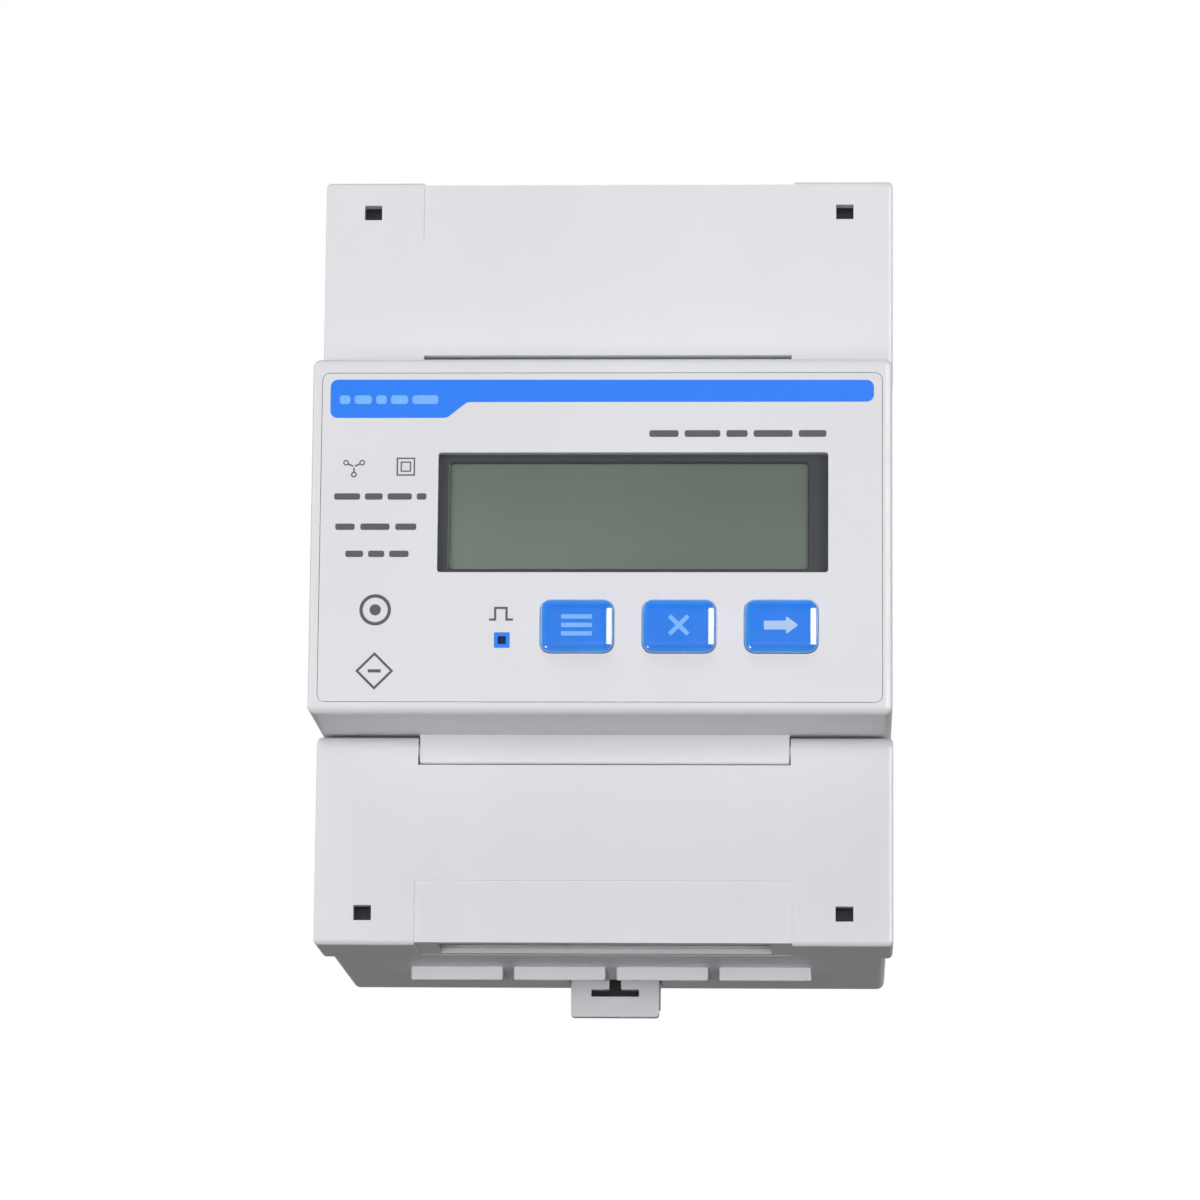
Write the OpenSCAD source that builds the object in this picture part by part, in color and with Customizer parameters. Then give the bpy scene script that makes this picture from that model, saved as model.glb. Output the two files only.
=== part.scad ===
// Four-module rail-mounted electricity meter with two hinged terminal covers.
// Frame: +Z up, front face towards -Y, +X to the right, millimetres.
// Origin: centre of the seat face that rests against the front of a 35 mm rail.

/* [Overall size] */
// Width over the terminal covers
cover_w = 72; // [71.8:0.1:73]
// Height of the housing without the rail clip
body_h = 97.6; // [97:0.1:99]
// Depth from the front face to the rail seat
seat_depth = 58.5; // [58:0.5:60]
// Depth of the two lands behind the rail seat
land_depth = 6.5; // [6:0.1:7]

/* [Front block] */
// Width of the front block
block_w = 71.6; // [71:0.1:71.6]
// Height of the front block
block_h = 44.5; // [44.3:0.1:44.7]
// Step from the front face back to the cover plane
cover_step = 15.5; // [15:0.1:16]
// Wall of the mouldings
wall = 2; // [1.6:0.1:2.2]

/* [Display and keys] */
// Width of the display window
window_w = 48; // [47:0.5:49]
// Height of the display window
window_h = 15; // [14:0.5:15.5]
// Width of one key cap
key_w = 9; // [8:0.1:9.4]
// Height of one key cap
key_h = 6.6; // [6:0.1:6.8]
// Distance between key centres
key_pitch = 12.5; // [12:0.1:12.7]
// Travel of a key
key_travel = 0.6; // [0.4:0.1:0.6]

/* [Terminals] */
// Distance between power terminals
power_pitch = 13.2; // [12.8:0.1:13.2]
// Radius of a power wire entry
power_entry_r = 3.3; // [3:0.1:3.4]
// Distance between signal terminals
signal_pitch = 6.6; // [6.5:0.1:6.6]
// Radius of a signal wire entry
signal_entry_r = 1.7; // [1.5:0.1:1.8]

/* [Rail clip] */
// Width of the clip
clip_w = 11.5; // [11:0.5:12]
// Thickness of the clip
clip_t = 2; // [1.8:0.1:2.1]

/* [Hidden] */
$fn = 48;
eps = 0.02;
gap = 0.3;
face_y = -seat_depth;
cover_y = face_y + cover_step;
rim_y = -30.2;
base_w = 70.4;
base_top = body_h / 2 - 0.3;
base_wall = 2.2;
floor_t = 2.2;
half_block = block_h / 2;

// Display and key positions on the front face
window_x = 3.93;
window_z = 2.83;
key_z = -11.45;
key_x0 = -2.8;
led_x = -12;
led_z = -13.15;
led_w = 1.86;
label_w = 69.3;
label_top = 20.45;
label_bottom = -20.9;
label_t = 0.4;
board_y = -48;
board_t = 1.6;
board_post_x = 30.5;
board_post_z = 17.2;
key_tip_y = board_y - 5;
switch_top_y = board_y - 3.5;

// Cover hinge: pin on the shoulder of the front block
hinge_y = cover_y + 1.7;
hinge_z = half_block + 1.95;
hinge_r = 0.8;
knuckle_r = 1.65;
notch_x = 23.25;
notch_z = 26.2;
shoulder_x = notch_x - gap;
shoulder_z = half_block + 3.7;
shoulder_edge = 0.5;
cover_t = 1.8;
cover_side = 1.4;
cover_back_y = rim_y - gap;
cover_end = body_h / 2;
slot_x = 20.8;
slot_depth = 11.2;
seal_x = 29.95;
seal_z = 44.8;

// Terminal rows
block_top_z = 46;
row_w = 53.8;
row_front_y = rim_y + 0.7;
main_y = -10;
main_t = 1.6;
power_x = [for (i = [0:3]) (i - 1.5) * power_pitch];
power_z = 39.5;
power_y = -8.5;
clamp_front_y = -16.5;
clamp_back_y = -3.8;
tongue_y = -13.2;
power_block_z = 32;
signal_x = [for (i = [0:7]) (i - 3.5) * signal_pitch];
signal_z = 38;
signal_y = -13.2;
collar_w = 11.8;
collar_t = 1.2;
collar_h = 1.7;
collar_front_y = -17.5;
post_x = 30.3;
post_z = 36;

// Rail clip
clip_front_y = 1.5;
clip_tip_z = -15.6;
clip_spine_end_z = -51.8;
tab_front_y = -3.8;
tab_t = 1.8;
tab_end_z = -53.4;
web_t = 1;
web_top_z = -47.3;
spring_r = 1.8;
spring_low_z = -40;
spring_high_z = -29;
hook_z = 15.8;
land_z = 19;

// A box given by its lowest and highest corners
module span(low, high) {
    translate(low) cube(high - low);
}

// A box centred on X, between two heights and two depths
module bar(half_x, y0, y1, z0, z1) {
    span([-half_x, y0, z0], [half_x, y1, z1]);
}

// A cylinder along +Y from y0 to y1
module rod_y(x, z, r, y0, y1) {
    translate([x, y0, z]) rotate([-90, 0, 0]) cylinder(r = r, h = y1 - y0);
}

// A cylinder along +Z from z0 to z1
module rod_z(x, y, r, z0, z1) {
    translate([x, y, z0]) cylinder(r = r, h = z1 - z0);
}

// A cylinder along +X from x0 to x1
module rod_x(y, z, r, x0, x1) {
    translate([x0, y, z]) rotate([0, 90, 0]) cylinder(r = r, h = x1 - x0);
}

// The same shape again, turned over about the X axis plane z = 0
module both_ends() {
    children();
    mirror([0, 0, 1]) children();
}

// The same shape again on the other side of x = 0
module both_sides() {
    children();
    mirror([1, 0, 0]) children();
}

// Lips of the cable collars, in front of the wire entries at one end of the base
module collar_lips() {
    for (x = power_x) translate([x, 0, base_top])
        bar(collar_w / 2, collar_front_y, collar_front_y + collar_t, -eps, collar_h);
}

// One seal post with its wire hole, under a square hole of a cover
module seal_post() {
    difference() {
        translate([seal_x, 0, 0]) bar(1.4, cover_y + 4.5, rim_y + 5, seal_z - 1.3, base_top - 1.8);
        rod_x(cover_y + 6.2, seal_z, 0.6, seal_x - 3, seal_x + 3);
    }
}

// Base: open box with the rail channel across its back
module base_housing() {
    color("gainsboro") difference() {
        union() {
            bar(base_w / 2, rim_y, 0, -base_top, base_top);
            both_ends() bar(base_w / 2, -eps, land_depth, land_z, base_top);
            bar(base_w / 2 - 3, 1.3, 4, hook_z, land_z + eps);
            both_ends() collar_lips();
        }
        difference() {
            bar(base_w / 2 - base_wall, rim_y - 1, -floor_t, 2.3 - base_top, base_top - 2.3);
            both_ends() both_sides() rod_y(post_x, post_z, 3, -28.4, 0);
            both_sides() rod_y(28, 20, 2.6, main_y + main_t, 0);
        }
        // Holes of the four housing screws
        both_ends() both_sides() rod_y(post_x, post_z, 1.45, -29, -8);
        // Wire entries
        for (x = power_x) rod_z(x, power_y, power_entry_r, -base_top - 3, -base_top + 4);
        for (x = signal_x) rod_z(x, signal_y, signal_entry_r, base_top - 4, base_top + 3);
        // Relief beside the rail seat, clear of the hook and the clip tip
        both_ends() bar(base_w, -0.2, 0.5, 15, land_z);
        // Cored pockets in the lands
        both_ends() both_sides() for (i = [0:2], j = [0:1]) {
            x = 9.5 + 8.6 * i;
            z = 22.5 + 12.6 * j;
            span([x, 0.8, z], [x + 7, land_depth + 1, z + 9.6]);
        }
        clip_channel();
    }
    color("gainsboro") both_ends() both_sides() seal_post();
}

// Guide of the clip through the lower land, with room for its spring, its web and the peg under it
module clip_channel() {
    difference() {
        union() {
            bar(clip_w / 2 + gap, clip_front_y - gap, clip_front_y + clip_t + gap, -base_top - 3, -land_z + 3);
            bar(clip_w / 2 + gap, tab_front_y - gap, clip_front_y, -base_top - 3, web_top_z + gap);
            bar(spring_r + 0.5, 0.4, land_depth + 1, -42.4, spring_high_z + 0.6);
        }
        bar(1.1, -1, land_depth - 1, -41.8, spring_low_z);
    }
}

// Front block, shoulders and terminal decks in one moulding
module front_housing() {
    color("gainsboro") difference() {
        union() {
            bar(block_w / 2, face_y, rim_y, -half_block, half_block);
            both_ends() shoulder();
            both_ends() bar(base_w / 2 - base_wall - 0.2, rim_y, rim_y + 1.5, half_block - 1, base_top - 2.5);
        }
        difference() {
            bar(block_w / 2 - wall, face_y + wall, rim_y + 5, -half_block + wall, half_block - wall);
            both_ends() both_sides() rod_y(board_post_x, board_post_z, 2.2, face_y, board_y);
        }
        both_ends() both_sides() rod_y(board_post_x, board_post_z, 0.95, face_y + 3.5, board_y + 1);
        // Recess of the label and the openings behind it
        span([-label_w / 2, face_y - 1, label_bottom], [label_w / 2, face_y + label_t, label_top]);
        window_cut(window_w / 2 + 0.1, window_h / 2 + 0.1);
        key_cuts(gap);
        led_cut(led_w / 2 + 0.15);
        // Windows for the terminal rows and the heads of the housing screws
        bar(row_w / 2 + 0.2, rim_y - 1, rim_y + 3, -block_top_z - 1, -power_block_z + 0.2);
        bar(row_w / 2 + 0.2, rim_y - 1, rim_y + 3, power_block_z - 0.2, block_top_z + 1);
        both_ends() both_sides() rod_y(post_x, post_z, 1.6, rim_y - 1, rim_y + 3);
        both_ends() both_sides() translate([seal_x, 0, 0]) bar(1.7, rim_y - 1, rim_y + 3, seal_z - 1.6, base_top);
    }
}

// Shoulder of the front block that fills a cover's notch and carries its two hinge pins
module shoulder() {
    difference() {
        bar(shoulder_x, cover_y + 0.8, rim_y, half_block - eps, shoulder_z);
        // Chamfer that lets the notch of the cover swing past
        translate([0, cover_y + 0.8, shoulder_z]) rotate([45, 0, 0])
            cube([3 * shoulder_x, shoulder_edge * sqrt(2), shoulder_edge * sqrt(2)], center = true);
        bar(shoulder_x - 1.6, cover_y + 2.4, rim_y + 1, half_block - 1, shoulder_z - 1.4);
    }
    both_sides() rod_x(hinge_y, hinge_z, hinge_r, shoulder_x - 1, shoulder_x + 2.9);
}

// Openings through the front face, shared by the label and the block
module window_cut(half_x, half_z) {
    translate([window_x, 0, window_z]) bar(half_x, face_y - 1, face_y + 3, -half_z, half_z);
}

module key_cuts(clear) {
    for (k = [0:2])
        translate([key_x0 + k * key_pitch, 0, key_z])
            bar(key_w / 2 + clear, face_y - 1, face_y + 3, -key_h / 2 - clear, key_h / 2 + clear);
}

module led_cut(half) {
    translate([led_x, 0, led_z]) bar(half, face_y - 1, face_y + 3, -half, half);
}

// Terminal cover, drawn at the upper end
module cover() {
    difference() {
        union() {
            bar(cover_w / 2, cover_y, cover_back_y, hinge_z, cover_end);
            rod_x(hinge_y, hinge_z, knuckle_r, -cover_w / 2, cover_w / 2);
            bar(cover_w / 2, hinge_y, cover_back_y, hinge_z - knuckle_r, hinge_z + 1);
        }
        // Hollow inside
        difference() {
            bar(cover_w / 2 - cover_side, cover_y + cover_t, cover_back_y + 1, hinge_z - 4, cover_end - cover_side);
            both_sides() rod_x(hinge_y, hinge_z, knuckle_r, notch_x, notch_x + 3.2);
        }
        // Notch around the shoulder
        bar(notch_x, cover_y - 1, cover_back_y + 1, hinge_z - 4, notch_z);
        // Hinge bores
        both_sides() rod_x(hinge_y, hinge_z, hinge_r + 0.08, notch_x - 1, notch_x + 3.3);
        // Sunk middle panel, cable slot with a thinned wall round it, and seal holes
        bar(23.5, cover_y - 1, cover_y + 0.25, 40.7, cover_end + 1);
        bar(23.5, cover_y - 1, cover_back_y + 1, cover_end - 0.35, cover_end + 1);
        bar(slot_x, cover_y + 1.9, cover_y + slot_depth, cover_end - 3, cover_end + 1);
        bar(slot_x + 1, cover_y + cover_t, cover_y + slot_depth + 0.5, cover_end - 2, cover_end - 1);
        both_sides() translate([seal_x, 0, seal_z]) bar(1.1, cover_y - 1, cover_y + 3, -0.95, 0.95);
    }
}

module upper_cover() {
    color("whitesmoke") cover();
}

module lower_cover() {
    color("whitesmoke") mirror([0, 0, 1]) cover();
}

module fascia_label() {
    color("lavender") difference() {
        span([-label_w / 2 + 0.1, face_y, label_bottom + 0.1], [label_w / 2 - 0.1, face_y + label_t, label_top - 0.1]);
        window_cut(window_w / 2, window_h / 2);
        key_cuts(gap);
        led_cut(led_w / 2 + 0.1);
    }
}

module lcd_window() {
    color("lightcyan", 0.5) translate([window_x, 0, window_z])
        bar(window_w / 2 - 0.1, face_y + 0.3, face_y + 1.5, -window_h / 2 + 0.1, window_h / 2 - 0.1);
}

// Dark frame that holds the display over its board
module lcd_holder() {
    color("dimgray") translate([window_x, 0, window_z]) difference() {
        bar(25.4, face_y + wall + 0.1, board_y - 0.05, -10.2, 10.2);
        bar(24.3, face_y + wall + 1.1, board_y + 1, -9.2, 9.2);
        translate([-0.4, 0, -0.4]) bar(21.9, face_y, board_y, -6.8, 6.8);
    }
}

module lcd_glass() {
    color("darkseagreen") translate([window_x, 0, window_z])
        bar(24, face_y + wall + 1.2, face_y + wall + 4, -9, 9);
}

module lcd_backlight() {
    color("white") translate([window_x, 0, window_z])
        bar(23.6, face_y + wall + 4.1, board_y - 1.2, -7.8, 7.8);
}

// Conductive rubber strips between the glass and the board
module zebra_strips() {
    color("black") translate([window_x, 0, window_z]) both_ends()
        bar(22.5, face_y + wall + 4.05, board_y - 0.05, 8.1, 8.9);
}

module display_board() {
    color("darkgreen") difference() {
        bar(32.6, board_y, board_y + board_t, -19.4, 19.4);
        both_ends() both_sides() rod_y(board_post_x, board_post_z, 1.2, board_y - 1, board_y + 3);
    }
}

module board_screws() {
    color("silver") both_ends() both_sides() {
        rod_y(board_post_x, board_post_z, 0.85, board_y - 5, board_y + board_t + 0.1);
        difference() {
            rod_y(board_post_x, board_post_z, 1.9, board_y + board_t + 0.05, board_y + board_t + 1.4);
            translate([board_post_x, board_y + board_t + 1.4, board_post_z]) cube([2.6, 1, 0.5], center = true);
        }
    }
}

// One small push switch, k from 1 at the left
module key_switch(k) {
    color("black") translate([key_x0 + (k - 1) * key_pitch, 0, key_z]) {
        bar(3, switch_top_y, board_y - 0.02, -3, 3);
        rod_y(0, 0, 1.7, key_tip_y + key_travel + 0.1, switch_top_y + 0.1);
    }
}

// One key: domed cap, flange behind the face and stem to its switch
module button(k) {
    dome_r = 22;
    cap_y = face_y - 1.1;
    color("dodgerblue") translate([key_x0 + (k - 1) * key_pitch, 0, key_z]) {
        intersection() {
            bar(key_w / 2, cap_y - 1, face_y + wall + gap + 0.1, -key_h / 2, key_h / 2);
            translate([0, cap_y + dome_r, 0]) sphere(r = dome_r, $fn = 96);
        }
        bar(key_w / 2 + 0.8, face_y + wall + gap, face_y + wall + gap + 0.9, -key_h / 2 - 0.4, key_h / 2 + 0.4);
        rod_y(0, 0, 1.5, face_y + wall + gap, key_tip_y);
    }
}

// Clear prism that brings the pulse light to the face
module light_pipe() {
    color("midnightblue") translate([led_x, 0, led_z]) {
        bar(led_w / 2, face_y, board_y - 2.2, -led_w / 2, led_w / 2);
        bar(led_w / 2 + 0.6, face_y + wall + 0.1, face_y + wall + 1, -led_w / 2 - 0.6, led_w / 2 + 0.6);
    }
}

module pulse_led() {
    color("red") translate([led_x, 0, led_z]) {
        rod_y(0, 0, 1, board_y - 1.5, board_y - 0.02);
        translate([0, board_y - 1.1, 0]) sphere(r = 0.9);
    }
}

// Two rows of plastic with eight pins that join the two boards
module board_link() {
    link_x = -27;
    pin_pitch = 2.54;
    color("black") translate([link_x, 0, 0]) {
        bar(1.3, board_y + board_t + 0.05, board_y + board_t + 2.6, -10.2, 10.2);
        bar(1.3, main_y - 2.6, main_y - 0.05, -10.2, 10.2);
    }
    color("gold") for (i = [0:7])
        rod_y(link_x, (i - 3.5) * pin_pitch, 0.32, board_y + board_t + 0.05, main_y - 0.05);
}

module main_board() {
    color("darkgreen") bar(32, main_y, main_y + main_t, -30.8, 30.8);
}

// Ring current sensor, k from 1 at the left
module current_transformer(k) {
    ring_r = 6.6;
    color("royalblue") translate([(k - 2) * 16, main_y - 8.5, 19]) rotate([-90, 0, 0]) rotate_extrude()
        translate([2.2, 0]) square([ring_r - 2.2, 8.4]);
}

module supply_transformer() {
    color("goldenrod") translate([-15, main_y - 14, -12]) {
        bar(7, 1, 14, -7, 7);
        bar(5, 0, 1.1, -7.6, 7.6);
    }
}

module filter_capacitors() {
    color("black") for (x = [2, 14]) rod_y(x, -12, 5, main_y - 16, main_y - 0.02);
}

module surge_varistors() {
    color("steelblue") for (x = [-13.2, 0, 13.2]) rod_x(main_y - 6.2, -25.4, 5, x - 2, x + 2);
}

module metering_chip() {
    color("black") translate([-4, 0, 4]) bar(3.5, main_y - 1.2, main_y - 0.02, -3.5, 3.5);
}

module interface_chips() {
    color("black") for (x = [8, 16, 24]) translate([x, 0, 3]) bar(2.4, main_y - 2, main_y - 0.02, -3.2, 3.2);
}

// Insulating block of the four power terminals, at the lower end
module power_terminal_block() {
    color("lightgray") difference() {
        bar(row_w / 2, row_front_y, -floor_t - 0.1, -block_top_z, -power_block_z);
        for (x = power_x) translate([x, 0, 0]) {
            bar(4.9, -20.9, clamp_back_y + 0.4, -44, -35);
            rod_y(0, -power_z, 2.3, row_front_y - 1, -20);
            rod_y(0, -power_z, 3.6, row_front_y - 1, -25.3);
            rod_z(0, power_y, power_entry_r, -block_top_z - 1, -43);
            bar(2.9, tongue_y - 0.1, tongue_y + 1.3, -36, -power_block_z + 1);
        }
    }
}

// Fixed tongues inside the power clamps, with their legs to the main board
module power_contacts() {
    color("goldenrod") for (x = power_x) translate([x, 0, 0]) {
        bar(2.8, tongue_y, tongue_y + 1.2, -43.6, -29.6);
        bar(1.5, tongue_y + 1, main_y - 0.02, -30.6, -29.6);
    }
}

// Slotted screw head and shank pointing to +Y, turning about its own axis
module slotted_screw(x, z, head_r, shank_r, head_y, neck_y, tip_y) {
    translate([x, 0, z]) {
        difference() {
            rod_y(0, 0, head_r, head_y, neck_y);
            span([-head_r - 1, head_y - 1, -0.5], [head_r + 1, head_y + 1, 0.5]);
            span([-0.5, head_y - 1, -head_r * 0.6], [0.5, head_y + 1, head_r * 0.6]);
        }
        rod_y(0, 0, shank_r, neck_y - 0.1, tip_y);
    }
}

module power_screw(k) {
    color("silver") slotted_screw(power_x[k - 1], -power_z, 3.3, 1.95, -27.9, -25.5, tongue_y - 0.1);
}

// Rising cage of one power terminal, open at rest
module power_clamp(k) {
    color("goldenrod") translate([power_x[k - 1], 0, 0]) difference() {
        bar(4.6, clamp_front_y, clamp_back_y, -43.5, -35.5);
        bar(3.4, clamp_front_y + 2.4, clamp_back_y - 1.2, -45, -34);
        rod_y(0, -power_z, 2, clamp_front_y - 1, clamp_front_y + 3);
    }
}

// Insulating block of the eight signal terminals, at the upper end
module signal_terminal_block() {
    color("lightgray") difference() {
        bar(row_w / 2, row_front_y, -floor_t - 0.1, power_block_z, block_top_z);
        for (x = signal_x) translate([x, 0, 0]) {
            bar(2.7, -17.6, -10.2, 34.9, 41.1);
            rod_y(0, signal_z, 1.5, row_front_y - 1, -17);
            rod_y(0, signal_z, 2.6, row_front_y - 1, -25);
            rod_z(0, signal_y, signal_entry_r, 40, block_top_z + 1);
            bar(0.7, -11.5, -10.1, power_block_z - 1, 36);
        }
    }
}

// Brass clamp bodies of the signal terminals with their legs to the main board
module signal_clamps() {
    color("goldenrod") for (x = signal_x) translate([x, 0, 0]) {
        difference() {
            bar(2.6, -17.5, -10.3, 35, 41);
            bar(1.9, -15.1, -11.3, 34, 42);
            rod_y(0, signal_z, 1.3, -18, -14);
        }
        bar(0.5, -11.3, -10.4, 29.6, 35.1);
        bar(0.5, -11.3, main_y - 0.02, 29.6, 30.6);
    }
}

module signal_screw(k) {
    color("silver") slotted_screw(signal_x[k - 1], signal_z, 2.3, 1.25, -27.4, -25.2, -15.3);
}

module housing_screws() {
    color("silver") both_ends() both_sides()
        slotted_screw(post_x, post_z, 2.6, 1.4, rim_y - 1.9, rim_y - 0.05, -10);
}

// Sliding clip: its upper tip holds the rail, and a tab in front of its lower end takes a screwdriver
module rail_clip() {
    color("gainsboro") difference() {
        union() {
            bar(clip_w / 2, clip_front_y, clip_front_y + clip_t, clip_spine_end_z, clip_tip_z);
            bar(clip_w / 2, tab_front_y, clip_front_y + eps, web_top_z - web_t, web_top_z);
            bar(clip_w / 2, tab_front_y, tab_front_y + tab_t, tab_end_z, web_top_z - eps);
            both_sides() span([clip_w / 2 - 1, tab_front_y + tab_t - eps, clip_spine_end_z],
                [clip_w / 2, clip_front_y + eps, web_top_z - eps]);
        }
        bar(spring_r + 0.3, 0, 5, -42, spring_high_z + 0.02);
        // T-shaped tool slot of the tab
        bar(3.1, tab_front_y - 1, tab_front_y + tab_t + 1, -50.7, -49.8);
        bar(0.75, tab_front_y - 1, tab_front_y + tab_t + 1, -49.9, web_top_z - web_t);
        // Lead-in chamfer of the tip
        translate([0, clip_front_y + clip_t, clip_tip_z]) rotate([45, 0, 0]) cube([20, 1.2, 1.2], center = true);
    }
}

// Closed envelope of the coil spring that pushes the clip up
module clip_spring() {
    color("silver") rod_z(0, clip_front_y + clip_t / 2, spring_r - 0.1, spring_low_z + 0.02, spring_high_z);
}

base_housing();
front_housing();
upper_cover();
lower_cover();
fascia_label();
lcd_window();
lcd_holder();
lcd_glass();
lcd_backlight();
zebra_strips();
display_board();
board_screws();
light_pipe();
pulse_led();
board_link();
for (k = [1:3]) key_switch(k);
for (k = [1:3]) button(k);
main_board();
supply_transformer();
filter_capacitors();
surge_varistors();
for (k = [1:3]) current_transformer(k);
metering_chip();
interface_chips();
power_terminal_block();
power_contacts();
for (k = [1:4]) power_screw(k);
for (k = [1:4]) power_clamp(k);
signal_terminal_block();
signal_clamps();
for (k = [1:8]) signal_screw(k);
housing_screws();
rail_clip();
clip_spring();
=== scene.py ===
"""Looks of the smart electric meter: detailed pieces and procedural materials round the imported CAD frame.

Pieces are modelled in millimetres in the shared frame, with +Z up and the front towards -Y.
They are scaled to metres when they are finished.
"""

import math

import bmesh
import bpy
from mathutils import Matrix, Vector


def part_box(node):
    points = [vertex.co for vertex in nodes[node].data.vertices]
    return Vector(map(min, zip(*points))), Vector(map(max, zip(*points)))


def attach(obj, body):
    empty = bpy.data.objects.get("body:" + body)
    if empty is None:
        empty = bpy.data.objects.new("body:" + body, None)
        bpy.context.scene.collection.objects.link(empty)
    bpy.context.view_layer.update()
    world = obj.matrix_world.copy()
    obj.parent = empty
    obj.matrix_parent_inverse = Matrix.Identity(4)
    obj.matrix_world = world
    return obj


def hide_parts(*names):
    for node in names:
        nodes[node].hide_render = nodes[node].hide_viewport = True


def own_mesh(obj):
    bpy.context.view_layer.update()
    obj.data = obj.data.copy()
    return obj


MM = 0.001
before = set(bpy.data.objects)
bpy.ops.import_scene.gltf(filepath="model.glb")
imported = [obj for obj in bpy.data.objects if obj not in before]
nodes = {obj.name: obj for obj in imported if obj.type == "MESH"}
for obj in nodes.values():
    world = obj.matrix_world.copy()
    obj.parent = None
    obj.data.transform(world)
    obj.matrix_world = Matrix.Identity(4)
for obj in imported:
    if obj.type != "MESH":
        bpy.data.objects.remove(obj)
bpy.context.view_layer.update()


def box_mm(node):
    """Lowest and highest corner of a CAD node, in millimetres."""
    low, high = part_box(node)
    return low / MM, high / MM


def middle_xz(node):
    """The (x, z) middle of a CAD node, in millimetres."""
    low, high = box_mm(node)
    return (low.x + high.x) / 2, (low.z + high.z) / 2


# Boxes of the CAD nodes that the looks are built from
cover_low, cover_high = box_mm("upper_cover")
block_low, block_high = box_mm("front_housing")
base_low, base_high = box_mm("base_housing")
label_low, label_high = box_mm("fascia_label")
window_low, window_high = box_mm("lcd_window")
clip_low, clip_high = box_mm("rail_clip")

# Front block and the decks behind its two ends
FACE_Y = label_low.y
DECK_T = 1.5
RIM_Y = block_high.y - DECK_T
BLOCK_HALF_W = block_high.x
BLOCK_HALF_H = 22.25
BLOCK_WALL = 2.0
SHOULDER_Z = BLOCK_HALF_H + 3.7
BOARD_POST_X = 30.5
BOARD_POST_Z = 17.2

# Terminal covers, with their hinges and seals
COVER_Y = cover_low.y
COVER_END = cover_high.z
HALF_W = cover_high.x
COVER_SKIN = 1.8
COVER_WALL = 1.4
NOTCH_X = 23.25
NOTCH_Z = BLOCK_HALF_H + 3.95
PANEL_X = 23.5
PANEL_FOOT = 40.7
SLOT_X = 20.8
SLOT_BACK = COVER_Y + 11.2
HINGE = (COVER_Y + 1.7, BLOCK_HALF_H + 1.95)
KNUCKLE_R = 1.65
KNUCKLE_W = 3.2
PIN_R = 0.8
PIN_HOLE_R = 0.88
PIN_SPANS = ((-26.1, -22.7), (22.7, 25.85))
SEAL_X = 29.95
SEAL_Z = 44.8

# Base, with its cable collars and rail channel
COLLAR_H = 1.7
COLLAR_W = 11.8
COLLAR_T = 0.8
COLLAR_FRONT_Y = -17.5
COLLAR_BACK_Y = -4.8
BASE_HALF_W = base_high.x
BASE_END = base_high.z - COLLAR_H
LAND_Y = base_high.y
LAND_Z = 19.0
SCREW_X = 30.3
SCREW_Z = 36
POWER_X = [(i - 1.5) * 13.2 for i in range(4)]
POWER_ENTRY_Y = -8.5
SIGNAL_X = [(i - 3.5) * 6.6 for i in range(8)]
SIGNAL_ENTRY_Y = -13.2

# Rail clip
CLIP_HALF_W = clip_high.x
CLIP_GAP = 0.3
SPINE_Y = clip_high.y - 2.0
SPINE_END = -51.8
TAB_T = 1.8
WEB_TOP = -BASE_END + 1.2

# Label, print, window, pulse light and keys
LABEL_T = 0.4
LABEL_GAP = 0.06
PRINT_T = 0.02
WINDOW_X, WINDOW_Z = middle_xz("lcd_window")
WINDOW_W = window_high.x - window_low.x + 0.2
WINDOW_H = window_high.z - window_low.z + 0.2
LED_X, LED_Z = middle_xz("light_pipe")
LED_HALF = 0.93
KEYS = ("button_1", "button_2", "button_3")
KEY_CENTRES = [middle_xz(key) for key in KEYS]
KEY_W = 9.0
KEY_H = 6.6
KEY_CORNER = 1.35
KEY_FILLET = 1.35
KEY_RISE = 0.78
CROWN_Y = box_mm("button_1")[0].y + 0.04
FLANGE_Y = FACE_Y + 2.3

# Directions for rod and prism
ALONG_X = 0
ALONG_Y = 1
ALONG_Z = 2


# ---------------------------------------------------------------- mesh tools


def new_object(name, bm):
    """An object from a bmesh, in millimetres until it is finished."""
    bmesh.ops.recalc_face_normals(bm, faces=bm.faces)
    mesh = bpy.data.meshes.new(name)
    bm.to_mesh(mesh)
    bm.free()
    obj = bpy.data.objects.new(name, mesh)
    bpy.context.scene.collection.objects.link(obj)
    return obj


def block(low, high):
    """A box between two corners."""
    bm = bmesh.new()
    bmesh.ops.create_cube(bm, size=1)
    for v in bm.verts:
        v.co = Vector([high[i] if v.co[i] > 0 else low[i] for i in range(3)])
    return new_object("block", bm)


def bar(half_x, y0, y1, z0, z1, x=0.0):
    """A box centred on x, between two depths and two heights."""
    return block((x - half_x, y0, z0), (x + half_x, y1, z1))


def rod(axis, centre, radius, start, end, sides=40):
    """A cylinder along an axis from start to end; centre holds the other two coordinates."""
    bm = bmesh.new()
    size = {"radius1": radius, "radius2": radius, "depth": end - start}
    bmesh.ops.create_cone(bm, cap_ends=True, segments=sides, **size)
    turn = {
        ALONG_X: Matrix.Rotation(math.pi / 2, 3, "Y"),
        ALONG_Y: Matrix.Rotation(math.pi / 2, 3, "X"),
        ALONG_Z: Matrix.Identity(3),
    }
    bmesh.ops.rotate(bm, verts=bm.verts, matrix=turn[axis])
    place = list(centre)
    place.insert(axis, (start + end) / 2)
    bmesh.ops.translate(bm, verts=bm.verts, vec=place)
    return new_object("rod", bm)


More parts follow.
